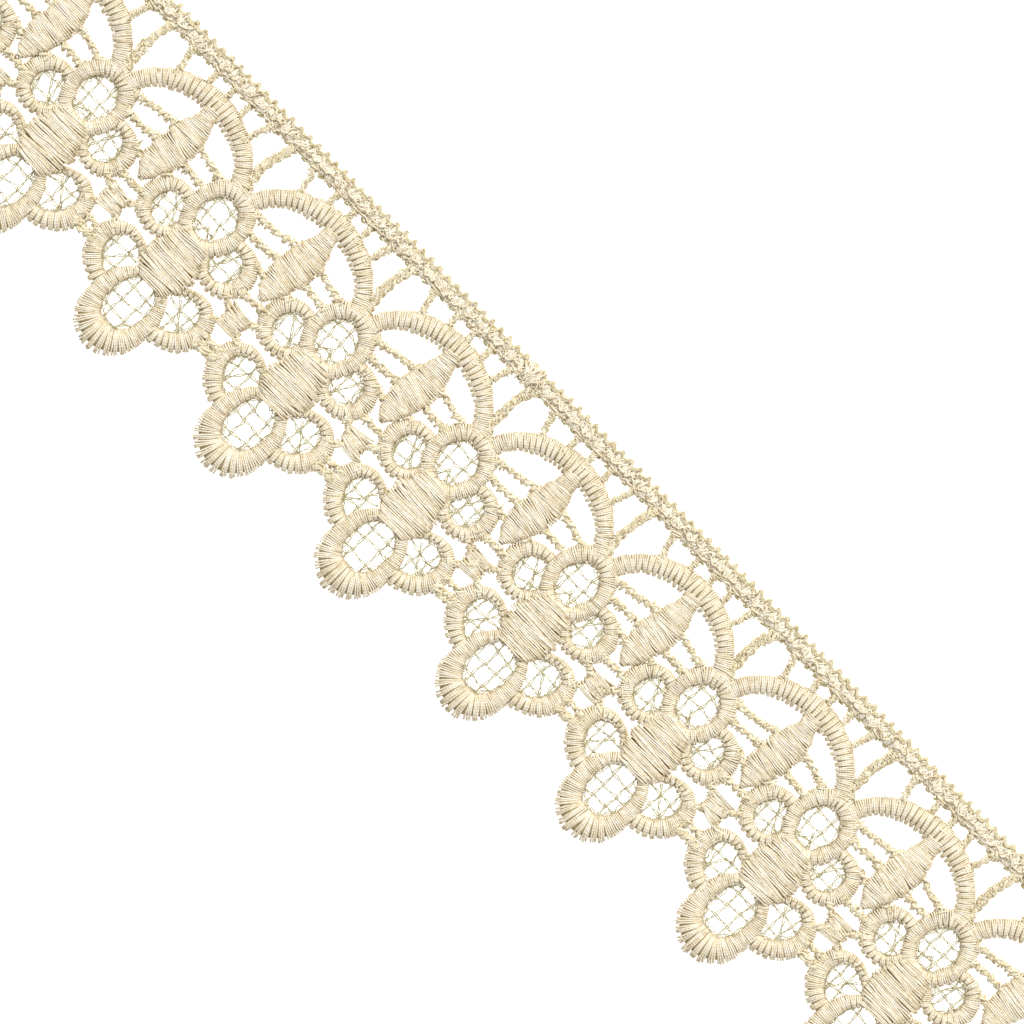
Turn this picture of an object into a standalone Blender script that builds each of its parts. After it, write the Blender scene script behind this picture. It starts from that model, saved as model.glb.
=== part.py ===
"""Flat cut length of cream guipure lace trim, 312 mm long and 60 mm wide.

X runs along the strip, +Y points to its straight heading, and it lies on z = 0.
It is one closed solid with a flat underside: satin bands, a barrel and a leaf
of changing width, and plain cords, joined where they meet.
Sizes are in millimetres.
"""
import math

import bmesh
import bpy
from mathutils import Matrix

MM = 0.001

# the strip
PITCH = 33.6            # flower to flower
FLOWERS = 9
MIDDLE_X = -1.0         # centre line of the middle flower
LENGTH = 312.0
HEADING_LOW = 25.6
HEADING_HIGH = 30.0

# how high each kind of stitching stands, and how wide its top is against its foot
SATIN_HIGH = 1.4
BARREL_HIGH = 1.8
LEAF_HIGH = 1.7
HEADING_THICK = 1.2
CORD_HIGH = 0.9
SATIN_CROWN = 0.5
CORD_CROWN = 0.6
HEADING_CROWN = 0.86

# petals are bands on ovals; one that has a pair is on the left and is mirrored to the right
# name, sides, x, y, long radius, short radius, tilt, bluntness, start, end, facets, widths along it
PETALS = [
    ("top", (1,), 0.15, 5.5, 6.6, 5.5, 90, 2.0, 0, 360, 12, (4.2, 3.2, 3.6, 3.2, 4.2)),
    ("bottom", (1,), -0.45, -19.3, 7.6, 5.85, -94, 2.3, 0, 360, 12, (6.25, 3.7, 1.9, 3.7, 6.25)),
    ("upper side", (1, -1), -8.2, 0.3, 4.85, 4.7, 90, 2.0, 0, 360, 9, (2.5, 3.8, 2.4, 2.4, 2.5)),
    ("lower side", (1, -1), -8.15, -13.5, 6.1, 5.05, 135, 2.0, -100, 165, 8, (1.6, 2.0, 3.9, 4.0, 2.7)),
]

# stations down the flower's barrel: y, full width
BARREL_X = 0.1
BARREL = [(-0.4, 7.4), (-2.8, 9.6), (-6.7, 12.2), (-9.8, 11.2), (-12.9, 7.8)]

# stations down the leaf, which leans a little: x from the flower on its left, y, full width
LEAF = [
    (18.1, 20.4, 3.6),
    (18.2, 17.9, 4.2),
    (18.35, 14.6, 6.6),
    (18.3, 11.6, 7.9),
    (17.8, 8.6, 7.9),
    (17.3, 5.4, 6.8),
    (17.3, 2.6, 4.6),
    (17.3, 0.3, 1.3),
]

# the arch that carries the leaf: x, y, long radius, short radius, tilt, bluntness, start, end, facets, widths
ARCH = (17.65, 10.2, 15.2, 11.3, 0, 2.0, 172, 8, 8, (3.8, 3.7, 4.3, 5.0, 4.3, 3.7, 3.8))

# the knot between four side petals, midway between two flowers
KNOT_Y = -6.3
KNOT_LONG = 5.8
KNOT_WIDE = 4.8

# short cords from the heading down to the arch: x at each end, from the arch's middle
BRIDGES = [(-11.1, -9.3), (-4.2, -4.2), (0.4, 0.4), (4.9, 4.9), (10.8, 8.8)]
BRIDGE_WIDE = 1.6

# cords between a flower and the next, x from the left one
# what they are, which flower they need, x and y of both ends, width
CORDS = [
    ("upper leaf cord", "left", 4.6, 11.2, 15.2, 12.9, 1.6),
    ("upper leaf cord", "right", 29.0, 11.2, 20.2, 13.4, 1.6),
    ("lower leaf cord", "left", 5.8, 8.0, 14.8, 8.5, 1.6),
    ("lower leaf cord", "right", 27.8, 8.0, 20.8, 8.5, 1.6),
    ("leaf flank", "left", 12.0, 4.6, 15.4, 3.9, 1.6),
    ("leaf flank", "right", 21.6, 4.6, 18.8, 3.9, 1.6),
    ("under the leaf tip", "both", 12.7, -0.9, 20.9, -0.9, 1.6),
    ("upper knot corner", "left", 12.2, -3.4, 16.8, -6.4, 2.1),
    ("upper knot corner", "right", 21.4, -3.4, 16.8, -6.4, 2.1),
    ("lower knot corner", "left", 12.5, -9.6, 16.8, -6.4, 2.1),
    ("lower knot corner", "right", 21.1, -9.6, 16.8, -6.4, 2.1),
    ("upper valley cord", "both", 14.0, -12.2, 19.6, -12.2, 1.6),
    ("lower valley cord", "both", 14.0, -14.4, 19.6, -14.4, 2.0),
]
# the stem from the heading down to each flower bows a little: x, y, width
STEM = [(0.7, 26.0, 1.9), (-0.4, 22.4, 1.9), (-0.7, 18.6, 1.9), (-0.3, 13.2, 1.9)]


def on_oval(x, y, long_radius, short_radius, tilt, bluntness, degrees):
    """A point on an oval: bluntness 2 is an ellipse, and more squares it off."""
    angle = math.radians(degrees)
    power = 2 / bluntness
    along = long_radius * math.copysign(abs(math.cos(angle)) ** power, math.cos(angle))
    across = short_radius * math.copysign(abs(math.sin(angle)) ** power, math.sin(angle))
    turn = math.radians(tilt)
    return (
        x + along * math.cos(turn) - across * math.sin(turn),
        y + along * math.sin(turn) + across * math.cos(turn),
    )


def eased_width(widths, share):
    """The width at a share of the way along, eased between evenly spread values."""
    place = share * (len(widths) - 1)
    index = min(int(place), len(widths) - 2)
    part = place - index
    part = 3 * part ** 2 - 2 * part ** 3
    return widths[index] + (widths[index + 1] - widths[index]) * part


def oval_line(x, y, long_radius, short_radius, tilt, bluntness, start, end, facets, widths):
    """Stations along an oval's centre line, each x, y and width."""
    stations = facets if end - start == 360 else facets + 1
    line = []
    for station in range(stations):
        share = station / facets
        point = on_oval(x, y, long_radius, short_radius, tilt, bluntness, start + (end - start) * share)
        line.append((*point, eased_width(widths, share)))
    return line


def add_band(bm, line, high, crown, closed=False):
    """Lofts a closed band through stations of unlike width, flat below and sloped at the sides."""
    count = len(line)
    rings = []
    for index, (x, y, width) in enumerate(line):
        before = line[index - 1] if closed or index else line[index]
        after = line[(index + 1) % count] if closed or index < count - 1 else line[index]
        dx = after[0] - before[0]
        dy = after[1] - before[1]
        reach = math.hypot(dx, dy)
        ring = []
        for side, z in ((0.5, 0.0), (-0.5, 0.0), (-0.5 * crown, high), (0.5 * crown, high)):
            out = width * side / reach
            ring.append(bm.verts.new(((x - dy * out) * MM, (y + dx * out) * MM, z * MM)))
        rings.append(ring)
    for index in range(count if closed else count - 1):
        near = rings[index]
        far = rings[(index + 1) % count]
        for corner in range(4):
            after = (corner + 1) % 4
            bm.faces.new((near[corner], far[corner], far[after], near[after]))
    if not closed:
        bm.faces.new(rings[0])
        bm.faces.new(rings[-1][::-1])


def add_bar(bm, x0, y0, x1, y1, width, high, crown):
    """A straight bar that stands on z = 0, narrower on top by the crown."""
    corners = bmesh.ops.create_cube(bm, size=1.0)["verts"]
    for corner in corners:
        corner.co.z += 0.5
        if corner.co.z > 0.5:
            corner.co.y *= crown
    length = math.hypot(x1 - x0, y1 - y0)
    middle = Matrix.Translation(((x0 + x1) / 2 * MM, (y0 + y1) / 2 * MM, 0.0))
    turn = Matrix.Rotation(math.atan2(y1 - y0, x1 - x0), 4, "Z")
    size = Matrix.Diagonal((length * MM, width * MM, high * MM, 1.0))
    bmesh.ops.transform(bm, matrix=middle @ turn @ size, verts=corners)


def add_flower(bm, flower_x):
    for name, sides, *oval in PETALS:
        line = oval_line(*oval)
        start, end = oval[6:8]
        closed = end - start == 360
        for side in sides:
            stations = [(flower_x + side * px, py, width) for px, py, width in line[::side]]
            add_band(bm, stations, SATIN_HIGH, SATIN_CROWN, closed)
    add_band(bm, [(flower_x + BARREL_X, y, width) for y, width in BARREL], BARREL_HIGH, SATIN_CROWN)
    add_band(bm, [(flower_x + x, y, width) for x, y, width in STEM], CORD_HIGH, CORD_CROWN)


def add_link(bm, flower_x, has_left, has_right):
    """What stands between two flowers: arch, bridges, leaf, knot and cords."""
    arch_x, arch_y, arch_long, arch_rise = ARCH[:4]
    arch = [(flower_x + x, y, width) for x, y, width in oval_line(*ARCH)]
    add_band(bm, arch, SATIN_HIGH, SATIN_CROWN)
    for top, foot in BRIDGES:
        middle = flower_x + arch_x
        if abs(middle + top) + BRIDGE_WIDE > LENGTH / 2:
            continue
        foot_y = arch_y + arch_rise * math.sqrt(1 - (foot / arch_long) ** 2)
        add_bar(bm, middle + top, HEADING_LOW + 0.4, middle + foot, foot_y, BRIDGE_WIDE, CORD_HIGH, CORD_CROWN)
    add_band(bm, [(flower_x + x, y, width) for x, y, width in LEAF], LEAF_HIGH, SATIN_CROWN)
    knot_x = flower_x + PITCH / 2
    add_bar(bm, knot_x - KNOT_LONG / 2, KNOT_Y, knot_x + KNOT_LONG / 2, KNOT_Y, KNOT_WIDE, SATIN_HIGH, SATIN_CROWN)
    for name, needs, x0, y0, x1, y1, width in CORDS:
        if (needs != "right" and not has_left) or (needs != "left" and not has_right):
            continue
        add_bar(bm, flower_x + x0, y0, flower_x + x1, y1, width, CORD_HIGH, CORD_CROWN)


def object_from(bm, name, collection):
    mesh = bpy.data.meshes.new(name)
    bm.to_mesh(mesh)
    bm.free()
    obj = bpy.data.objects.new(name, mesh)
    collection.objects.link(obj)
    return obj


for old in list(bpy.data.objects):
    bpy.data.objects.remove(old)

part = bpy.data.collections.new("lace_trim")
cutters = bpy.data.collections.new("cutters")
for collection in (part, cutters):
    bpy.context.scene.collection.children.link(collection)

# flowers and what links them, as overlapping bodies that the join below makes one
first_x = MIDDLE_X - PITCH * (FLOWERS // 2)
bm = bmesh.new()
for index in range(FLOWERS):
    add_flower(bm, first_x + PITCH * index)
for index in range(-1, FLOWERS):
    add_link(bm, first_x + PITCH * index, index >= 0, index < FLOWERS - 1)
lace = object_from(bm, "lace", part)

# the heading overruns both ends, then everything is cut flush
bm = bmesh.new()
heading_y = (HEADING_LOW + HEADING_HIGH) / 2
overrun = LENGTH / 2 + 8
add_bar(bm, -overrun, heading_y, overrun, heading_y, HEADING_HIGH - HEADING_LOW, HEADING_THICK, HEADING_CROWN)
heading = object_from(bm, "heading", cutters)

bm = bmesh.new()
bmesh.ops.create_cube(bm, size=1.0, matrix=Matrix.Diagonal((LENGTH * MM, 0.09, 0.012, 1.0)))
between_ends = object_from(bm, "between_ends", cutters)

join = lace.modifiers.new("Join the heading", "BOOLEAN")
join.operation = "UNION"
join.use_self = True
join.object = heading

cut = lace.modifiers.new("Cut both ends", "BOOLEAN")
cut.operation = "INTERSECT"
cut.object = between_ends

for cutter in (heading, between_ends):
    cutter.hide_render = True
    cutter.display_type = "WIRE"

thread = bpy.data.materials.new("thread")
thread.use_nodes = True
shader = thread.node_tree.nodes["Principled BSDF"]
shader.inputs["Base Color"].default_value = (0.80, 0.70, 0.50, 1.0)
shader.inputs["Roughness"].default_value = 0.7
shader.inputs["Metallic"].default_value = 0.0
lace.data.materials.append(thread)
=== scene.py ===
# %% [markdown]
# # A length of guipure lace trim
# Guipure is stitched by machine on a ground that is dissolved afterwards, so nothing is
# left but thread: satin stitches packed side by side over a padding, cords between the
# motifs, and a fine net inside the petals. This script dresses the plain solid of the
# trim with that thread, stitch by stitch, and lights it as it lies on a white table.

# %% Load the solid model
import math

import bmesh
import bpy
import numpy as np
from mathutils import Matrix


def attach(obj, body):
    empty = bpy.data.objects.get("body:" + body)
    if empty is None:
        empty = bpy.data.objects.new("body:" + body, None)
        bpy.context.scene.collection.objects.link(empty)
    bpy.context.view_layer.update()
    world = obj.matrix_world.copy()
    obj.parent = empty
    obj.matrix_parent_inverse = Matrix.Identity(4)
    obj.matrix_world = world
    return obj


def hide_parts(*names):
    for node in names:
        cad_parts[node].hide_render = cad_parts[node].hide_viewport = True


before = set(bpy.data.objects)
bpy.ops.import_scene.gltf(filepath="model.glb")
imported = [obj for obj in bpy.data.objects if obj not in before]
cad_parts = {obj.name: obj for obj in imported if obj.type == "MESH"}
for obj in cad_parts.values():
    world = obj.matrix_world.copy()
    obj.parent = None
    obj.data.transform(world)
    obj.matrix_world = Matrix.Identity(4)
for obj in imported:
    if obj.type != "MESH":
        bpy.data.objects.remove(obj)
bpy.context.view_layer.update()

# %% [markdown]
# ## Named sizes
# The trim repeats every 33.6 mm, so each motif is described once, from the centre line of
# a flower, in millimetres. X runs along the strip and +Y points to the straight heading.
# The numbers follow those of the solid model, so the thread lies where its bands lie, here
# and there some tenths of a millimetre off.

# %% Sizes of the strip and its motifs
MM = 0.001
PITCH = 33.6
FLOWERS = 9
MIDDLE_X = -1.0
LENGTH = 312.0
HEADING_MIDDLE = 27.75
HEADING_FOOT = 26.2     # where the cords run in under the heading

# petals as ovals: sides, x, y, long radius, short radius, tilt, bluntness, start, end, widths along it
PETALS = {
    "top": (
        (1,), 0.15, 5.5, 6.6, 5.5, 90, 2.0, 0, 360,
        (4.2, 3.8, 3.2, 3.0, 3.6, 3.0, 3.2, 3.8, 4.2),
    ),
    "bottom": (
        (1,), -0.45, -19.3, 7.6, 5.85, -94, 2.3, 0, 360,
        (6.25, 5.2, 3.7, 2.4, 1.8, 2.4, 3.7, 5.2, 6.25),
    ),
    "upper_side": (
        (1, -1), -8.2, 0.3, 4.85, 4.7, 90, 2.0, 0, 360,
        (2.5, 3.2, 3.8, 3.2, 2.4, 2.4, 2.4, 2.4, 2.5),
    ),
    "lower_side": (
        (1, -1), -8.15, -13.5, 6.1, 5.05, 135, 2.0, -100, 165,
        (1.5, 1.8, 2.6, 3.9, 4.1, 3.5, 2.5),
    ),
}
ARCH = (17.65, 10.2, 15.2, 11.3, 0, 2.0, 172, 8, (3.8, 3.7, 4.3, 5.0, 4.3, 3.7, 3.8))

# stations down the barrel: y, full width
BARREL_X = 0.1
BARREL = [(-0.4, 7.4), (-2.8, 9.6), (-6.7, 12.2), (-9.8, 11.2), (-12.9, 7.8)]

# stations down the leaf, which leans a little: x, y, full width
LEAF = [
    (18.1, 19.8, 3.6),
    (18.2, 17.9, 4.2),
    (18.35, 14.6, 6.6),
    (18.3, 11.6, 7.9),
    (17.8, 8.6, 7.9),
    (17.3, 5.4, 6.8),
    (17.3, 2.6, 4.6),
    (17.3, 0.3, 1.3),
]

KNOT_Y = -6.3
KNOT_LONG = 5.8
KNOT_WIDE = 4.8
BRIDGES = [(-11.1, -9.3), (-4.2, -4.2), (0.4, 0.4), (4.9, 4.9), (10.8, 8.8)]

# cords between two flowers: which flower they need, x and y of both ends
CORDS = [
    ("left", 4.6, 11.2, 15.2, 12.9),
    ("right", 29.0, 11.2, 20.2, 13.4),
    ("left", 5.8, 8.0, 14.8, 8.5),
    ("right", 27.8, 8.0, 20.8, 8.5),
    ("left", 12.0, 4.6, 15.4, 3.9),
    ("right", 21.6, 4.6, 18.8, 3.9),
    ("both", 12.7, -0.9, 20.9, -0.9),
    ("both", 14.0, -12.2, 19.6, -12.2),
    ("both", 14.0, -14.0, 19.6, -14.0),
    ("both", 14.0, -14.7, 19.6, -14.7),
]
KNOT_CORNERS = [
    ("left", 12.2, -3.4, 16.8, -6.4),
    ("right", 21.4, -3.4, 16.8, -6.4),
    ("left", 12.5, -9.6, 16.8, -6.4),
    ("right", 21.1, -9.6, 16.8, -6.4),
]
STEM = [(0.7, 26.0), (-0.4, 22.4), (-0.7, 18.6), (-0.3, 13.2)]

FLOWER_XS = [MIDDLE_X + PITCH * (index - FLOWERS // 2) for index in range(FLOWERS)]
LINK_XS = [FLOWER_XS[0] - PITCH] + FLOWER_XS
print(len(FLOWER_XS), "flowers and", len(LINK_XS), "leaves on", LENGTH, "mm")

# %% [markdown]
# ## The camera
# The photograph looks straight down on the strip, which runs from the upper left corner
# to the lower right one. A long lens from well above keeps the edges parallel, and the
# camera is turned about its own axis to set the strip on its diagonal.

# %% Look straight down with a long lens
VIEW_WIDE = 201.2       # millimetres of table across the picture
VIEW_X = 0.01356        # the place on the table in the middle of the picture, in metres
VIEW_Y = 0.00616
VIEW_TURN = 45.28       # degrees by which the strip runs off the picture's level
LENS = 120.0
SENSOR = 36.0

camera_data = bpy.data.cameras.new("Camera")
camera_data.lens = LENS
camera_data.sensor_width = SENSOR
camera = bpy.data.objects.new("Camera", camera_data)
camera.location = (VIEW_X, VIEW_Y, VIEW_WIDE * MM * LENS / SENSOR)
camera.rotation_euler = (0.0, 0.0, math.radians(VIEW_TURN))
bpy.context.scene.collection.objects.link(camera)
bpy.context.scene.camera = camera
print("camera height", round(camera.location.z, 3), "m")

# %% [markdown]
# ## Writing node trees as sums
# Both the shaders and the stitching are node trees. A long chain of Math nodes is hard to
# read as a list of links, so a small class wraps a socket and lets Python's own operators
# add the nodes, and one method makes every other node.

# %% A socket that can be added and multiplied
def pick(sockets, key):
    """A socket by number, or the first one of that name that is in use."""
    if isinstance(key, int):
        return sockets[key]
    return next(socket for socket in sockets if socket.name == key and socket.enabled)


class Flow:
    """An output socket: an expression on it adds Math nodes."""

    def __init__(self, nodes, socket):
        self.nodes = nodes
        self.socket = socket

    def __add__(self, other):
        return self.nodes.math("ADD", self, other)

    def __sub__(self, other):
        return self.nodes.math("SUBTRACT", self, other)

    def __rsub__(self, other):
        return self.nodes.math("SUBTRACT", other, self)

    def __mul__(self, other):
        return self.nodes.math("MULTIPLY", self, other)

    def __truediv__(self, other):
        return self.nodes.math("DIVIDE", self, other)

    def __pow__(self, other):
        return self.nodes.math("POWER", self, other)

    def __mod__(self, other):
        return self.nodes.math("MODULO", self, other)

    __radd__ = __add__
    __rmul__ = __mul__

    def output(self, key):
        """Another output of the same node."""
        return Flow(self.nodes, pick(self.socket.node.outputs, key))


class Nodes:
    """Adds nodes to one tree."""

    def __init__(self, tree):
        self.tree = tree

    def add(self, kind, settings=None, inputs=None, output=None):
        node = self.tree.nodes.new(kind)
        for name, value in (settings or {}).items():
            if name == "stops":
                while len(node.color_ramp.elements) < len(value):
                    node.color_ramp.elements.new(1.0)
                for element, (place, colour) in zip(node.color_ramp.elements, value):
                    element.position = place
                    element.color = (*colour, 1.0)
            else:
                setattr(node, name, value)
        for key, value in (inputs or {}).items():
            socket = pick(node.inputs, key)
            if isinstance(value, Flow):
                self.tree.links.new(value.socket, socket)
            else:
                socket.default_value = value
        outputs = [socket for socket in node.outputs if socket.enabled]
        found = outputs[0] if output is None and outputs else None
        if output is not None:
            found = pick(node.outputs, output)
        return Flow(self, found)

    def math(self, operation, *values):
        return self.add("ShaderNodeMath", {"operation": operation}, dict(enumerate(values)))

    def mix(self, factor, first, second, blend="MIX"):
        """Mixes two colours."""
        settings = {"data_type": "RGBA", "blend_type": blend}
        return self.add("ShaderNodeMix", settings, {0: factor, 6: first, 7: second}, 2)

    def vector(self, x=0.0, y=0.0, z=0.0):
        return self.add("ShaderNodeCombineXYZ", inputs={"X": x, "Y": y, "Z": z})

    def vector_math(self, operation, first, second):
        """Works on two vectors; to scale one, the second is a number."""
        key = "Scale" if operation == "SCALE" else 1
        return self.add("ShaderNodeVectorMath", {"operation": operation}, {0: first, key: second})

    def read(self, name, kind="FLOAT"):
        """Reads an attribute of the geometry."""
        settings = {"data_type": kind}
        return self.add("GeometryNodeInputNamedAttribute", settings, {"Name": name}, "Attribute")

    def keep(self, geometry, name, value, kind="FLOAT", domain="POINT"):
        """Keeps a value as an attribute of the geometry."""
        settings = {"data_type": kind, "domain": domain}
        inputs = {"Geometry": geometry, "Name": name, "Value": value}
        return self.add("GeometryNodeStoreNamedAttribute", settings, inputs)


print("node helpers are ready")

# %% [markdown]
# ## Lines to stitch along
# Every motif is a line with a width that changes along it: an oval for a petal, a straight
# line for the leaf and the barrel. Each line becomes loose edges of a guide mesh, and the
# width at each point is kept as an attribute, which the stitching tree reads.

# %% Points along an oval, and down a motif
def on_oval(x, y, long_radius, short_radius, tilt, bluntness, degrees):
    """A point on an oval: bluntness 2 is an ellipse, and more squares it off."""
    angle = math.radians(degrees)
    power = 2 / bluntness
    along = long_radius * math.copysign(abs(math.cos(angle)) ** power, math.cos(angle))
    across = short_radius * math.copysign(abs(math.sin(angle)) ** power, math.sin(angle))
    turn = math.radians(tilt)
    return (
        x + along * math.cos(turn) - across * math.sin(turn),
        y + along * math.sin(turn) + across * math.cos(turn),
    )


def eased_width(widths, share):
    """The width at a share of the way along, eased between evenly spread values."""
    place = share * (len(widths) - 1)
    index = min(int(place), len(widths) - 2)
    part = place - index
    part = 3 * part ** 2 - 2 * part ** 3
    return widths[index] + (widths[index + 1] - widths[index]) * part


def oval_line(shape, steps):
    """Points along an oval band, each x, y and width."""
    *oval, start, end, widths = shape
    count = steps if end - start == 360 else steps + 1
    line = []
    for step in range(count):
        share = step / steps
        line.append((*on_oval(*oval, start + (end - start) * share), eased_width(widths, share)))
    return line


def tapered_line(stations, steps):
    """Points down a motif that follows its stations, x, y and width, in a smooth curve."""
    table = np.array(stations)
    ys = np.linspace(table[0, 1], table[-1, 1], steps + 1)
    line = []
    for y in ys:
        near = np.exp(-((table[:, 1] - y) / 1.1) ** 2) + 1e-9
        share = np.interp(y, table[::-1, 1], np.arange(len(table))[::-1])
        index = min(int(share), len(table) - 2)
        part = share - index
        plain = table[index] * (1 - part) + table[index + 1] * part
        soft = (table * near[:, None]).sum(0) / near.sum()
        mixed = plain * 0.7 + soft * 0.3
        line.append((float(mixed[0]), float(y), float(mixed[2])))
    return line


def moved(line, x, side=1):
    """A line carried to a flower, mirrored first when side is -1."""
    return [(x + side * px, py, *rest) for px, py, *rest in line[::side]]


# %% Collect the lines of each kind of motif
bands = {}
for name, shape in PETALS.items():
    line = oval_line(shape[1:], 72)
    bands[name] = [moved(line, x, side) for x in FLOWER_XS for side in shape[0]]
barrel_line = tapered_line([(BARREL_X, y, width) for y, width in BARREL], 24)
leaf_line = tapered_line(LEAF, 40)
arch_line = oval_line(ARCH, 72)
bands["barrel"] = [moved(barrel_line, x) for x in FLOWER_XS]
bands["leaf"] = [moved(leaf_line, x) for x in LINK_XS]
edge = LENGTH / 2 - 0.3
bands["arch"] = [[point for point in moved(arch_line, x) if abs(point[0]) < edge] for x in LINK_XS]
knot_line = [(PITCH / 2, KNOT_Y + KNOT_WIDE / 2 - KNOT_WIDE * i / 8, KNOT_LONG) for i in range(9)]
bands["knot"] = [moved(knot_line, x) for x in LINK_XS]
CLOSED = {"top", "bottom", "upper_side"}
for name, lines in bands.items():
    print(name, len(lines), "lines")


def guide_mesh(name, lines, closed=False):
    """Loose edges along the lines, with the width kept on each point."""
    points = []
    edges = []
    widths = []
    for line in lines:
        first = len(points)
        points += [(x * MM, y * MM, 0.0) for x, y, *rest in line]
        widths += [rest[0] * MM if rest else 0.0 for x, y, *rest in line]
        edges += [(first + i, first + i + 1) for i in range(len(line) - 1)]
        if closed:
            edges.append((len(points) - 1, first))
    mesh = bpy.data.meshes.new(name)
    mesh.from_pydata(points, edges, [])
    attribute = mesh.attributes.new("wide", "FLOAT", "POINT")
    attribute.data.foreach_set("value", widths)
    return mesh


# %% [markdown]
# ## The thread
# The thread is a cream viscose with a soft lustre. No two stitches take the light alike,
# so each stitch carries its own shade as an attribute. Deep between the stitches less light
# gets in, so the colour is darkened towards tan lower above the table, as painted shade.
# Twist shows as a fine bump along each stitch.

# %% Mix the thread's colours
# TAN and OLIVE serve partly for random tone, partly for painted shade low down and at the stitch ends
PALE = (1.0, 0.935, 0.80)
CREAM = (0.89, 0.775, 0.555)
TAN = (0.65, 0.525, 0.33)
OLIVE = (0.34, 0.28, 0.13)


def thread_material(name, low, high, tint, roughness, twist):
    """Thread whose colour deepens from high down to low, in millimetres above the table, as painted
    shade.
    """
    material = bpy.data.materials.new(name)
    material.use_nodes = True
    nodes = Nodes(material.node_tree)
    shader = material.node_tree.nodes["Principled BSDF"]
    place = nodes.add("ShaderNodeTexCoord", output="Object")
    height = nodes.add("ShaderNodeSeparateXYZ", inputs={"Vector": place}, output="Z")
    rise = nodes.add(
        "ShaderNodeMapRange",
        {"interpolation_type": "SMOOTHSTEP"},
        {"Value": height, "From Min": low * MM, "From Max": high * MM},
    )
    shade = nodes.add("ShaderNodeAttribute", {"attribute_name": "shade"}, output="Fac")
    cloud = nodes.add("ShaderNodeTexNoise", inputs={"Vector": place, "Scale": 1100.0, "Detail": 2.0})
    stops = [(0.0, OLIVE), (0.25, TAN), (0.55, CREAM), (1.0, PALE)]
    body = nodes.add("ShaderNodeValToRGB", {"stops": stops}, {"Fac": shade + cloud * 1.1 - 0.55})
    # painted shade: thread low above the table is mixed towards tan
    body = nodes.mix(rise, (*TAN, 1.0), body)
    colour = nodes.mix(1.0, body, (*tint, 1.0), "MULTIPLY")
    along = nodes.add("ShaderNodeAttribute", {"attribute_name": "along"}, output="Fac")
    grain = nodes.add("ShaderNodeTexNoise", inputs={"Vector": place, "Scale": 3000.0, "Detail": 1.0})
    wave = nodes.math("SINE", along * (2 * math.pi / (twist * MM)) + grain * 4.0)
    bump = nodes.add("ShaderNodeBump", inputs={"Strength": 0.35, "Distance": 0.00006, "Height": wave})
    links = material.node_tree.links
    links.new(colour.socket, shader.inputs["Base Color"])
    links.new(bump.socket, shader.inputs["Normal"])
    shader.inputs["Roughness"].default_value = roughness
    shader.inputs["Sheen Weight"].default_value = 0.25
    shader.inputs["Sheen Roughness"].default_value = 0.4
    shader.inputs["Specular IOR Level"].default_value = 0.35
    return material


satin_thread = thread_material("satin_thread", 0.1, 1.1, (1.0, 1.0, 1.0), 0.5, 0.55)
cord_thread = thread_material("cord_thread", 0.0, 1.0, (0.93, 0.93, 0.86), 0.55, 0.5)
net_thread = thread_material("net_thread", -0.6, 0.8, (0.66, 0.69, 0.56), 0.6, 0.4)
edge_thread = thread_material("edge_thread", -0.5, 1.0, (0.92, 0.91, 0.80), 0.6, 0.4)
heading_thread = thread_material("heading_thread", -1.2, 0.6, (1.0, 1.0, 0.99), 0.6, 0.5)
# the dashes' darker olive tint is painted shade under the heading
shaded_dash_thread = thread_material("shaded_dash_thread", 0.4, 1.6, (0.64, 0.66, 0.50), 0.6, 0.4)
# the padding's darker tint is painted shade in the cracks between stitches
shaded_padding_thread = thread_material("shaded_padding_thread", 0.0, 1.6, (0.86, 0.85, 0.78), 0.8, 0.4)
print("thread materials:", [m.name for m in bpy.data.materials if m.name.endswith("thread")])

# %% [markdown]
# ## A tree that lays satin stitches
# A satin stitch goes round the padding: over the top, down the edge and back underneath.
# So one stitch is a closed loop of thread. The tree puts a loop at every step along a guide
# line, turns it across the line, stretches it to the band's width there, and lets each one
# lean, stray and swell a little. Neighbours lean opposite ways, because the needle zigzags.

# %% Build the satin tree
UP = (0.0, 0.0, 1.0)


def new_tree(name, numbers):
    """A geometry tree with named number inputs, its defaults given in a table."""
    tree = bpy.data.node_groups.new(name, "GeometryNodeTree")
    tree.is_modifier = True
    tree.interface.new_socket("Geometry", in_out="INPUT", socket_type="NodeSocketGeometry")
    for label, default in numbers.items():
        item = tree.interface.new_socket(label, in_out="INPUT", socket_type="NodeSocketFloat")
        item.default_value = default
    tree.interface.new_socket("Material", in_out="INPUT", socket_type="NodeSocketMaterial")
    tree.interface.new_socket("Geometry", in_out="OUTPUT", socket_type="NodeSocketGeometry")
    nodes = Nodes(tree)
    start = nodes.add("NodeGroupInput", output="Geometry")
    return tree, nodes, start


def close_tree(tree, nodes, geometry, start):
    """Ends a tree: instances made real, shaded smooth, given the thread."""
    real = nodes.add("GeometryNodeRealizeInstances", inputs={"Geometry": geometry})
    smooth = nodes.add("GeometryNodeSetShadeSmooth", inputs={"Geometry": real})
    inputs = {"Geometry": smooth, "Material": start.output("Material")}
    last = nodes.add("GeometryNodeSetMaterial", inputs=inputs)
    end = tree.nodes.new("NodeGroupOutput")
    tree.links.new(last.socket, end.inputs["Geometry"])


def random_between(nodes, low, high, seed, which=None):
    """A random number for each point, or the same one for all that share a which."""
    inputs = {"Min": low, "Max": high, "Seed": seed}
    if which is not None:
        inputs["ID"] = which
    return nodes.add("FunctionNodeRandomValue", {"data_type": "FLOAT"}, inputs)


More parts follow.
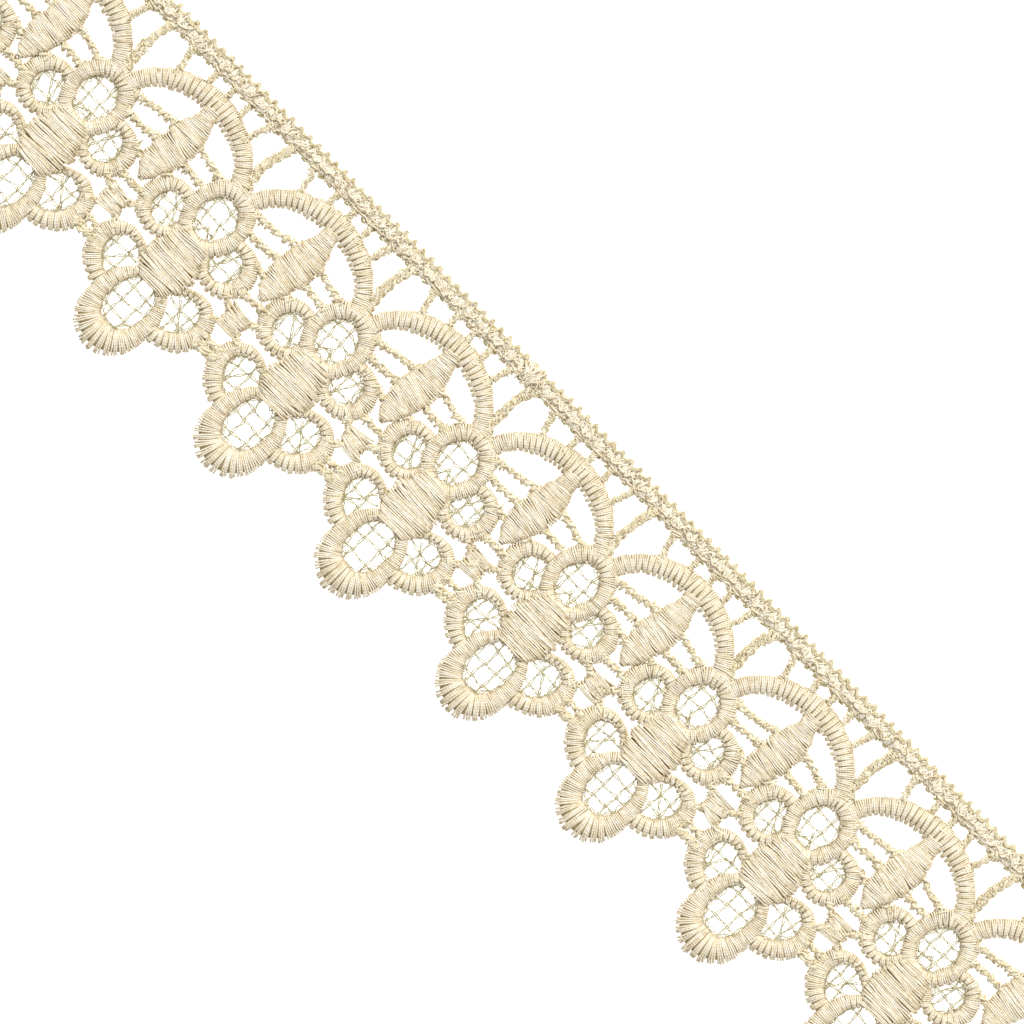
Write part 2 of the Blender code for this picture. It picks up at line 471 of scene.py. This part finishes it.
def satin_tree():
    sizes = {
        "Spacing": 0.0004,
        "Thread": 0.00021,
        "High": 0.0014,
        "Lean": 0.25,
        "Turn": 0.03,
        "Stray": 0.00006,
        "Fingers": 0.0003,
        "Darkest": 0.6,
        "Stretch": 0.04,
        "Crown": 0.6,
        "Fan": 0.3,
        "Warp": 0.0002,
        "Shadow": 0.85,
        "Inner": 0.2,
        "Corners": 10.0,
    }
    tree, nodes, start = new_tree("satin stitches", sizes)
    thread = start.output("Thread")
    wide = nodes.read("wide")

    # a guide line with one point for each stitch
    line = nodes.add("GeometryNodeMeshToCurve", inputs={"Mesh": start})
    inputs = {"Curve": line, "Length": start.output("Spacing")}
    line = nodes.add("GeometryNodeResampleCurve", {"mode": "LENGTH"}, inputs)
    line = nodes.keep(line, "run", nodes.add("GeometryNodeInputTangent"), "FLOAT_VECTOR")
    tangent = nodes.read("run", "FLOAT_VECTOR")
    across = nodes.vector_math("CROSS_PRODUCT", tangent, UP)

    # stitches gather in threes at the end away from the heading, and reach out there like fingers
    index = nodes.add("GeometryNodeInputIndex")
    member = index % 3 - 1.0
    away = nodes.add("ShaderNodeSeparateXYZ", inputs={"Vector": across}, output="Y") * -1.0
    line = nodes.keep(line, "away", away)
    gather = member * away * start.output("Lean") * start.output("Spacing") * -1.0
    group = nodes.math("FLOOR", index / 3 + 0.01)
    length = random_between(nodes, 0.55, 1.0, 17, group) - nodes.math("ABSOLUTE", member) * 0.15
    finger = length * start.output("Fingers")
    stray = random_between(nodes, -1.0, 1.0, 3) * start.output("Stray")
    sideways = nodes.vector_math("SCALE", across, away * finger * 0.5 + stray)
    along = nodes.vector_math("SCALE", tangent, gather * away * 0.5)
    shift = nodes.vector_math("ADD", sideways, along)
    shift = nodes.vector_math("ADD", shift, nodes.vector(z=thread))
    line = nodes.add("GeometryNodeSetPosition", inputs={"Geometry": line, "Offset": shift})

    # one loop of thread, a unit wide and a unit high, flat below and crowned above
    inputs = {"Resolution": start.output("Corners"), "Radius": 1.0}
    ring = nodes.add("GeometryNodeCurvePrimitiveCircle", inputs=inputs)
    spot = nodes.add("GeometryNodeInputPosition")
    around = nodes.add("ShaderNodeSeparateXYZ", inputs={"Vector": spot})
    rim = around.output("X")
    side = nodes.math("SIGN", rim) * nodes.math("ABSOLUTE", rim) ** 0.8 * 0.5
    above = nodes.math("MAXIMUM", around.output("Y"), 0.0) ** start.output("Crown")
    below = nodes.math("MAXIMUM", around.output("Y") * -1.0, 0.0) ** 0.6
    tall = above * 0.7 - below * 0.3 + 0.3
    ring = nodes.keep(ring, "side", side * 2)
    inputs = {"Geometry": ring, "Position": nodes.vector(0.0, nodes.read("side") * 0.5, tall)}
    ring = nodes.add("GeometryNodeSetPosition", inputs=inputs)

    # turned across the line and stretched to the band, lower where the band is narrow
    turn = gather / nodes.math("MAXIMUM", wide, 0.0005)
    turn = turn + random_between(nodes, -1.0, 1.0, 5) * start.output("Turn")
    fan = nodes.add("ShaderNodeTexNoise", inputs={"Scale": 380.0, "Detail": 1.0}) - 0.5
    turn = turn + fan * start.output("Fan") * 2
    settings = {"axis": "X", "pivot_axis": "Z"}
    facing = nodes.add("FunctionNodeAlignRotationToVector", settings, {"Vector": tangent})
    turn = nodes.add("FunctionNodeAxisAngleToRotation", inputs={"Axis": UP, "Angle": turn})
    inputs = {"Rotation": facing, "Rotate By": turn}
    facing = nodes.add("FunctionNodeRotateRotation", {"rotation_space": "LOCAL"}, inputs)
    stretch = random_between(nodes, -1.0, 1.0, 7) * start.output("Stretch") + 1.0
    reach = wide * stretch + nodes.math("ABSOLUTE", away) * finger - thread * 2
    rise = nodes.math("MINIMUM", wide * 150.0 + 0.55, 1.0) * random_between(nodes, 0.9, 1.0, 9)
    tallness = (start.output("High") - thread * 2) * rise
    size = nodes.vector(1.0, nodes.math("MAXIMUM", reach, thread), tallness)
    loops = nodes.add(
        "GeometryNodeInstanceOnPoints",
        inputs={"Points": line, "Instance": ring, "Rotation": facing, "Scale": size},
    )
    shade = random_between(nodes, start.output("Darkest"), 0.92, 11)
    loops = nodes.keep(loops, "shade", shade, domain="INSTANCE")
    loops = nodes.add("GeometryNodeRealizeInstances", inputs={"Geometry": loops})

    # neighbours waver together, and painted shade darkens the stitch ends, most at the end away from
    # the heading and its light, and the inner side of each band round a hole
    drift = nodes.add("ShaderNodeTexNoise", inputs={"Scale": 450.0, "Detail": 2.0}, output="Color")
    drift = nodes.vector_math("SUBTRACT", drift, (0.5, 0.5, 0.5))
    drift = nodes.vector_math("MULTIPLY", drift, (2.0, 2.0, 0.8))
    drift = nodes.vector_math("SCALE", drift, start.output("Warp"))
    ripple = nodes.add("ShaderNodeTexNoise", inputs={"Scale": 1500.0, "Detail": 0.0}) - 0.5
    drift = nodes.vector_math("ADD", drift, nodes.vector(z=ripple * 0.00028))
    loops = nodes.add("GeometryNodeSetPosition", inputs={"Geometry": loops, "Offset": drift})
    edge = nodes.read("side")
    outward = edge * nodes.read("away") * -1.0
    tip = nodes.math("MAXIMUM", outward, nodes.math("ABSOLUTE", edge) * 0.85) ** 4.5
    inner = nodes.math("MAXIMUM", edge, 0.0) ** 1.5
    shade = nodes.read("shade") * (1.0 - tip * start.output("Shadow"))
    loops = nodes.keep(loops, "shade", shade * (1.0 - inner * start.output("Inner")))
    length = nodes.add("GeometryNodeSplineParameter", output="Length")
    loops = nodes.keep(loops, "along", length)
    loops = nodes.add("GeometryNodeSetCurveRadius", inputs={"Curve": loops, "Radius": 1.0})
    profile = nodes.add("GeometryNodeCurvePrimitiveCircle", inputs={"Resolution": 4, "Radius": thread})
    tubes = nodes.add("GeometryNodeCurveToMesh", inputs={"Curve": loops, "Profile Curve": profile})
    close_tree(tree, nodes, tubes, start)
    return tree


satin = satin_tree()
print("the satin tree has", len(satin.nodes), "nodes")

# %% Run a tree on a guide and keep a plain mesh
made = []


def grow(name, tree, guide, material, **sizes):
    """Runs the tree on the guide mesh, and keeps its result as a piece without modifiers."""
    guide_object = bpy.data.objects.new(name + "_guide", guide)
    bpy.context.scene.collection.objects.link(guide_object)
    modifier = guide_object.modifiers.new("Grow", "NODES")
    modifier.node_group = tree
    for item in tree.interface.items_tree:
        if item.item_type == "SOCKET" and item.in_out == "INPUT":
            if item.name in sizes:
                modifier[item.identifier] = sizes[item.name]
            elif item.name == "Material":
                modifier[item.identifier] = material
    graph = bpy.context.evaluated_depsgraph_get()
    mesh = bpy.data.meshes.new_from_object(guide_object.evaluated_get(graph), depsgraph=graph)
    mesh.name = name
    bpy.data.objects.remove(guide_object)
    piece = bpy.data.objects.new(name, mesh)
    bpy.context.scene.collection.objects.link(piece)
    made.append(piece)
    triangles = sum(len(face.vertices) - 2 for face in mesh.polygons)
    kept = [a.name for a in mesh.attributes if not a.name.startswith(".")]
    print(name, triangles, "triangles, attributes", kept)


# %% Stitch the motifs
# spacing, high, lean, turn, stray, fingers, stretch, fan, warp
STITCHING = {
    "top": (0.40, 1.4, 0.45, 0.03, 0.03, 0.55, 0.02, 0.35, 0.28),
    "bottom": (0.40, 1.4, 0.50, 0.03, 0.03, 0.90, 0.02, 0.3, 0.25),
    "upper_side": (0.40, 1.25, 0.50, 0.04, 0.03, 0.60, 0.02, 0.4, 0.30),
    "lower_side": (0.40, 1.25, 0.50, 0.03, 0.03, 0.70, 0.02, 0.3, 0.25),
    "barrel": (0.38, 1.8, 0.25, 0.03, 0.25, 0.30, 0.03, 0.25, 0.40),
    "leaf": (0.38, 1.7, 0.25, 0.02, 0.08, 0.20, 0.03, 0.18, 0.35),
    "arch": (0.40, 1.4, 0.50, 0.03, 0.03, 0.80, 0.02, 0.3, 0.25),
    "knot": (0.34, 1.35, 0.25, 0.12, 0.20, 0.30, 0.06, 0.6, 0.40),
}
for name, (spacing, high, lean, turn, stray, fingers, stretch, fan, warp) in STITCHING.items():
    guide = guide_mesh(name, bands[name], name in CLOSED)
    grow(
        name + "_satin", satin, guide, satin_thread,
        Spacing=spacing * MM, High=high * MM, Lean=lean, Turn=turn,
        Stray=stray * MM, Fingers=fingers * MM, Stretch=stretch, Fan=fan, Warp=warp * MM,
        Corners=16.0 if name in ("barrel", "leaf") else 8.0,
        Thread=0.00023 if name in ("barrel", "leaf") else 0.00021,
    )

# %% [markdown]
# ## The padding under the stitches
# Before the satin, the machine lays a padding of running stitches, which keeps the bands
# round and closes the cracks between stitches. It hardly shows, so it is one low rounded
# band under each motif, lofted through sections of changing width.

# %% Loft the padding
PAD_SECTION = [
    (-0.5, 0.12), (-0.5, 0.35), (-0.34, 0.78), (0.0, 0.92), (0.34, 0.78), (0.5, 0.35), (0.5, 0.12),
]


def add_padding(bm, line, share, high, closed):
    """One closed padding band along a line, share of its width and high at its crown."""
    rings = []
    count = len(line)
    for index, (x, y, width) in enumerate(line):
        before = line[index - 1] if closed or index else line[index]
        after = line[(index + 1) % count] if closed or index < count - 1 else line[index]
        dx = after[0] - before[0]
        dy = after[1] - before[1]
        reach = math.hypot(dx, dy)
        ring = []
        for side, z in PAD_SECTION:
            out = -width * share * side / reach
            ring.append(bm.verts.new(((x - dy * out) * MM, (y + dx * out) * MM, z * high * MM)))
        rings.append(ring)
    for index in range(count if closed else count - 1):
        near = rings[index]
        far = rings[(index + 1) % count]
        for corner in range(len(near)):
            after = (corner + 1) % len(near)
            bm.faces.new((near[corner], near[after], far[after], far[corner]))
    if not closed:
        bm.faces.new(rings[0][::-1])
        bm.faces.new(rings[-1])


bm = bmesh.new()
for name, lines in bands.items():
    high = STITCHING[name][1]
    step = 3 if len(lines[0]) > 30 else 2
    for line in lines:
        thinned = line[::step]
        if name not in CLOSED and thinned[-1] != line[-1]:
            thinned.append(line[-1])
        add_padding(bm, thinned, 0.82, high * 0.87, name in CLOSED)
heading_pad = [(x, 27.8, 3.6) for x in np.linspace(-LENGTH / 2 + 0.1, LENGTH / 2 - 0.1, 60)]
add_padding(bm, heading_pad, 1.0, 0.8, False)
mesh = bpy.data.meshes.new("padding")
bm.to_mesh(mesh)
bm.free()
# its darker tint is painted shade in the cracks between the stitches
mesh.materials.append(shaded_padding_thread)
mesh.polygons.foreach_set("use_smooth", [True] * len(mesh.polygons))
padding = bpy.data.objects.new("padding", mesh)
bpy.context.scene.collection.objects.link(padding)
print("padding", sum(len(face.vertices) - 2 for face in mesh.polygons), "triangles")

# %% [markdown]
# ## Cords
# The motifs hang together by cords: two running threads wound round each other, and
# short uneven stitches over them that make a knobbly bar. The cords widen where they
# join a motif, and the threads swell and stray so that no bar is even.

# %% Build the cord tree
def cord_tree():
    sizes = {
        "Step": 0.00036,
        "Ply": 0.00036,
        "Wind": 0.0004,
        "Pitch": 0.0026,
        "Phase": 0.0,
        "Height": 0.00062,
        "Stray": 0.00025,
        "Flare": 0.6,
        "Facets": 6.0,
    }
    tree, nodes, start = new_tree("twisted cord", sizes)
    line = nodes.add("GeometryNodeMeshToCurve", inputs={"Mesh": start})
    inputs = {"Curve": line, "Length": start.output("Step")}
    line = nodes.add("GeometryNodeResampleCurve", {"mode": "LENGTH"}, inputs)
    across = nodes.vector_math("CROSS_PRODUCT", nodes.add("GeometryNodeInputTangent"), UP)
    length = nodes.add("GeometryNodeSplineParameter", output="Length")
    angle = length * (2 * math.pi) / start.output("Pitch") + start.output("Phase")
    spot = nodes.add("GeometryNodeInputPosition")
    inputs = {"Vector": spot, "Scale": 500.0, "Detail": 0.0}
    drift = nodes.add("ShaderNodeTexNoise", inputs=inputs, output="Color")
    drift = nodes.vector_math("SUBTRACT", drift, (0.5, 0.5, 0.5))
    drift = nodes.vector_math("SCALE", drift, start.output("Stray") * 2)
    share = nodes.add("GeometryNodeSplineParameter", output="Factor")
    near_end = nodes.math("ABSOLUTE", share * 2 - 1.0) ** 3.0
    wind = start.output("Wind") * (near_end * start.output("Flare") + 1.0)
    out = nodes.math("COSINE", angle) * wind
    up = nodes.math("SINE", angle) * start.output("Wind") * 0.6 + start.output("Height")
    shift = nodes.vector_math("SCALE", across, out)
    shift = nodes.vector_math("ADD", shift, nodes.vector(z=up))
    shift = nodes.vector_math("ADD", shift, drift)
    line = nodes.add("GeometryNodeSetPosition", inputs={"Geometry": line, "Offset": shift})
    line = nodes.keep(line, "along", length)
    line = nodes.keep(line, "shade", random_between(nodes, 0.2, 1.0, 13))
    swell = random_between(nodes, 0.75, 1.2, 15)
    line = nodes.add("GeometryNodeSetCurveRadius", inputs={"Curve": line, "Radius": swell})
    inputs = {"Resolution": start.output("Facets"), "Radius": start.output("Ply")}
    profile = nodes.add("GeometryNodeCurvePrimitiveCircle", inputs=inputs)
    inputs = {"Curve": line, "Profile Curve": profile, "Fill Caps": True}
    tubes = nodes.add("GeometryNodeCurveToMesh", inputs=inputs)
    close_tree(tree, nodes, tubes, start)
    return tree


twisted = cord_tree()
print("the cord tree has", len(twisted.nodes), "nodes")


# %% Lay the cords
def straight(x0, y0, x1, y1, bow=0.0, wide=1.0):
    """A cord's line from end to end, bowed a little in the middle and wider at both ends."""
    reach = math.hypot(x1 - x0, y1 - y0)
    line = []
    for step in range(9):
        share = step / 8
        side = bow * math.sin(math.pi * share)
        x = x0 + (x1 - x0) * share - (y1 - y0) / reach * side
        y = y0 + (y1 - y0) * share + (x1 - x0) / reach * side
        line.append((x, y, wide * (1 + 0.9 * abs(2 * share - 1) ** 3)))
    return line


rng = np.random.default_rng(21)
cords = []
for x in FLOWER_XS:
    for apart in (-0.45, 0.45):
        cords.append([(x + px + apart + rng.normal(0, 0.2), py, 1.2) for px, py in STEM])
    cords.append([(x + 0.1, 15.0, 1.2), (x, 13.9, 3.2), (x, 13.0, 4.4)])
for index, x in enumerate(LINK_XS):
    middle_x = x + ARCH[0]
    for top, foot in BRIDGES:
        if abs(middle_x + top) + 1.25 > LENGTH / 2:
            continue
        foot_y = ARCH[1] + ARCH[3] * math.sqrt(1 - (foot / ARCH[2]) ** 2)
        bow = rng.normal(0, 0.12)
        cords.append(straight(middle_x + top, HEADING_FOOT, middle_x + foot, foot_y + 0.7, bow, 1.5))
    for needs, x0, y0, x1, y1 in CORDS + KNOT_CORNERS:
        if (needs != "right" and index == 0) or (needs != "left" and index == FLOWERS):
            continue
        drop = rng.normal(0, 0.15)
        cords.append(straight(x + x0, y0 + drop, x + x1, y1 + drop, rng.normal(0, 0.2), 1.55))
cord_guide = guide_mesh("cords", cords)
TWO_PLY = {"Ply": 0.0003, "Wind": 0.00046, "Pitch": 0.0039, "Flare": 0.4}
grow("cord_ply_one", twisted, cord_guide, cord_thread, Stray=0.0004, **TWO_PLY)
grow("cord_ply_two", twisted, cord_guide, cord_thread, Stray=0.0005, Phase=math.pi, **TWO_PLY)
grow(
    "cord_stitches", satin, cord_guide, cord_thread,
    Spacing=0.00048, Thread=0.00021, High=0.0014, Lean=0.6, Turn=0.5, Stray=0.0002,
    Fingers=0.0004, Stretch=0.25, Fan=1.0, Warp=0.0003, Shadow=0.9, Corners=6.0,
)
print(len(cords), "cords")

# %% [markdown]
# ## The net inside the petals
# Each petal is filled with a few fine threads each way, laid double and never quite
# straight. They are the same twisted thread, much finer and low down.

# %% Lay the net
# in one flower: x and y of both ends
NET = {
    "top": [
        (-2.0, 11.5, -1.7, 0.4), (1.5, 11.6, 1.6, 0.4), (-4.6, 8.0, 4.6, 7.6), (-4.8, 4.7, 4.8, 5.0),
        (-4.0, 2.2, 4.0, 2.4), (-0.2, 3.6, 1.6, 0.2), (0.4, 3.0, -2.2, 0.6),
    ],
    "bottom": [
        (-1.9, -12.4, -2.3, -25.2), (1.8, -12.4, 1.2, -25.2), (-4.6, -15.2, 4.6, -15.6),
        (-4.8, -18.6, 4.8, -18.2), (-4.6, -21.6, 4.4, -21.3), (-3.8, -24.2, 3.0, -24.0),
    ],
    "upper": [
        (-12.4, 1.4, -4.4, 1.9), (-12.4, -1.4, -4.0, -1.0), (-10.4, 4.6, -10.0, -3.8),
        (-7.2, 4.9, -6.6, -4.2), (-9.2, 3.6, -5.4, -3.0),
    ],
    "lower": [
        (-12.4, -12.2, -4.2, -11.6), (-12.4, -15.4, -4.6, -14.4), (-10.6, -9.2, -10.2, -18.2),
        (-7.6, -9.2, -7.4, -18.6), (-6.4, -10.6, -11.2, -16.6),
    ],
}
net_lines = []
for x in FLOWER_XS:
    for name, threads in NET.items():
        sides = (1, -1) if name in ("upper", "lower") else (1,)
        for side in sides:
            for x0, y0, x1, y1 in threads:
                wobble = rng.normal(0, 0.3, 4)
                near = (side * x0 + wobble[0], y0 + wobble[1])
                far = (side * x1 + wobble[2], y1 + wobble[3])
                net_lines.append(moved(straight(*near, *far, rng.normal(0, 0.35)), x))


# %% Fray the rims of the holes
def frayed_rim(shape, low, high):
    """A fine thread that loops in and out of a hole's rim, low to high mm inside the band."""
    x, y, long_radius, short_radius, *rest, start, end, widths = shape
    steps = 110
    reach = np.convolve(rng.uniform(low, high, steps + 5), (0.25, 0.5, 0.25), "valid")
    line = []
    for step in range(steps):
        share = step / steps
        inward = eased_width(widths, share) / 2 + float(reach[step])
        degrees = start + (end - start) * share
        line.append(on_oval(x, y, long_radius - inward, short_radius - inward, *rest, degrees))
    return line


rim_lines = []
for x in FLOWER_XS:
    for shape in PETALS.values():
        for side in shape[0]:
            for low, high in ((-0.4, 0.4), (-0.4, 0.9)):
                rim_lines.append(moved(frayed_rim(shape[1:], low, high), x, side))
print(len(rim_lines), "frayed rims")

# %% Make net and rims of fine thread
net_guide = guide_mesh("net", net_lines)
FINE_PLY = {
    "Step": 0.0007, "Ply": 0.00011, "Wind": 0.00022, "Pitch": 0.0058, "Height": 0.0004,
    "Flare": 0.0, "Facets": 4.0,
}
grow("net_thread_one", twisted, net_guide, net_thread, Stray=0.0004, **FINE_PLY)
grow("net_thread_two", twisted, net_guide, net_thread, Stray=0.0005, Phase=math.pi, **FINE_PLY)
grow(
    "frayed_rims", twisted, guide_mesh("rims", rim_lines), net_thread,
    Step=0.0005, Ply=0.00011, Wind=0.0, Pitch=0.005, Height=0.00055, Stray=0.0004,
    Flare=0.0, Facets=3.0,
)
print(len(net_lines), "net threads")

# %% [markdown]
# ## The heading
# The heading is the braid by which the trim is sewn on. Fine stitches cross it at every
# angle over a ground of upright ones, a row of knobs stands at its outer edge, and short
# dashes of thread hang under its inner edge, tinted dark as painted shade. In one place
# the braid was joined, and the extra thread makes a lump there.

# %% Stitch the heading's ground and the stitches that cross it
heading_end = LENGTH / 2 - 0.8
heading_line = [(float(x), HEADING_MIDDLE, 4.1) for x in np.linspace(-heading_end, heading_end, 200)]
grow(
    "heading_satin", satin, guide_mesh("heading", [heading_line]), heading_thread,
    Spacing=0.0004, Thread=0.00021, High=0.0009, Lean=0.3, Turn=0.2, Stray=0.0001,
    Fingers=0.0001, Stretch=0.06, Fan=0.5, Warp=0.0002, Shadow=0.2, Corners=8.0, Darkest=0.85,
)
cross_line = [(x, y, 2.9) for x, y, wide in heading_line]
grow(
    "heading_cross_stitches", satin, guide_mesh("heading_cross", [cross_line]), heading_thread,
    Spacing=0.00036, Thread=0.00018, High=0.00105, Lean=0.0, Turn=0.9, Stray=0.0008,
    Fingers=0.0, Stretch=0.35, Fan=0.5, Warp=0.0003, Shadow=0.0, Corners=8.0, Darkest=0.8,
    Inner=0.0,
)
splice_line = [(float(x), HEADING_MIDDLE, 4.6) for x in np.linspace(-4.6, -0.9, 9)]
grow(
    "splice", satin, guide_mesh("splice", [splice_line]), heading_thread,
    Spacing=0.00014, Thread=0.00016, High=0.0017, Lean=0.0, Turn=0.9, Stray=0.0005,
    Fingers=0.0, Stretch=0.3, Fan=1.2, Warp=0.0006, Shadow=0.2,
)


# %% Run threads along it, with knobs, rings and dashes
def along_heading(low_y, places, spacing, shape):
    """A thread along the heading, low_y plus what shape gives for each place in a repeat."""
    steps = int(2 * heading_end / spacing * places)
    line = []
    for step in range(steps + 1):
        x = -heading_end + 2 * heading_end * step / steps
        across, sideways = shape(x / spacing % 1.0)
        line.append((x + sideways, low_y + across))
    return line


def knob(place):
    """Up and over a knob in the first half of a repeat, straight on in the second."""
    rise = 1 / (1 + math.exp(50 * (abs(place - 0.5) - 0.18)))
    return 0.95 * rise, 0.0


def ring(place):
    turn = 2 * math.pi * place
    return 0.95 * math.cos(turn), -1.1 * math.sin(turn)


def ripple(place):
    return 0.08 * math.sin(2 * math.pi * place), 0.0


KNOB_PITCH = 2.42
knob_lines = [along_heading(low_y, 18, KNOB_PITCH, knob) for low_y in (28.75, 29.0, 29.25)]
run_lines = [along_heading(29.3, 6, 3.7, ripple), along_heading(26.4, 6, 3.1, ripple)]
ring_lines = [along_heading(27.9, 12, 3.63, ring)]
dash_lines = []
for index in range(int(2 * heading_end / KNOB_PITCH)):
    x = -heading_end + KNOB_PITCH * (index + 0.5)
    tilt = rng.normal(0, 0.1)
    dash_lines.append(straight(x - 0.5, 25.75 + tilt, x + 0.5, 25.75 - tilt, rng.normal(-0.12, 0.1)))
grow(
    "heading_knobs", twisted, guide_mesh("knobs", knob_lines), edge_thread,
    Step=0.0003, Ply=0.00022, Wind=0.00008, Pitch=0.0017, Height=0.0008, Stray=0.00012,
    Flare=0.0, Facets=4.0,
)
grow(
    "heading_runs", twisted, guide_mesh("runs", run_lines), heading_thread,
    Step=0.0004, Ply=0.00017, Wind=0.00015, Pitch=0.0017, Height=0.0007, Stray=0.0004, Flare=0.0,
)
grow(
    "heading_rings", twisted, guide_mesh("rings", ring_lines), heading_thread,
    Step=0.0004, Ply=0.00017, Wind=0.0002, Pitch=0.0021, Height=0.001, Stray=0.0006, Flare=0.0,
)
grow(
    "heading_dashes", twisted, guide_mesh("dashes", dash_lines), shaded_dash_thread,
    Step=0.0003, Ply=0.00022, Wind=0.00006, Pitch=0.0021, Height=0.00045, Stray=0.0001, Flare=0.0,
)

# %% [markdown]
# ## Put the pieces on the part
# Every piece is hung on the body that carries it, and the plain solid of the lace is
# hidden. The padding stands for the cloth itself.

# %% Ride on the solid
for piece in [padding] + made:
    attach(piece, "root")
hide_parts("lace")
print(len(made) + 1, "pieces ride on the part")

# %% [markdown]
# ## Table and light
# The strip lies on a white table under a broad soft light from the heading's side, with
# light from all round, so that shadows stay short and pale.

# %% Set the table and the lights
bm = bmesh.new()
bmesh.ops.create_grid(bm, x_segments=1, y_segments=1, size=3.0)
mesh = bpy.data.meshes.new("table")
bm.to_mesh(mesh)
bm.free()
table = bpy.data.objects.new("table", mesh)
table.location.z = -0.0004
bpy.context.scene.collection.objects.link(table)
white = bpy.data.materials.new("white_table")
white.use_nodes = True
shader = white.node_tree.nodes["Principled BSDF"]
shader.inputs["Base Color"].default_value = (0.92, 0.92, 0.92, 1.0)
shader.inputs["Roughness"].default_value = 0.9
shader.inputs["Emission Color"].default_value = (1.0, 1.0, 1.0, 1.0)
shader.inputs["Emission Strength"].default_value = 0.8
mesh.materials.append(white)

sun_data = bpy.data.lights.new("window", "SUN")
sun_data.energy = 3.0
sun_data.angle = math.radians(35)
sun = bpy.data.objects.new("window", sun_data)
sun.rotation_euler = (math.radians(-48), 0.0, math.radians(12))
bpy.context.scene.collection.objects.link(sun)

world = bpy.data.worlds.new("studio")
world.use_nodes = True
world.node_tree.nodes["Background"].inputs["Color"].default_value = (1.0, 1.0, 1.0, 1.0)
world.node_tree.nodes["Background"].inputs["Strength"].default_value = 0.45
bpy.context.scene.world = world
bpy.context.scene.view_settings.view_transform = "Standard"
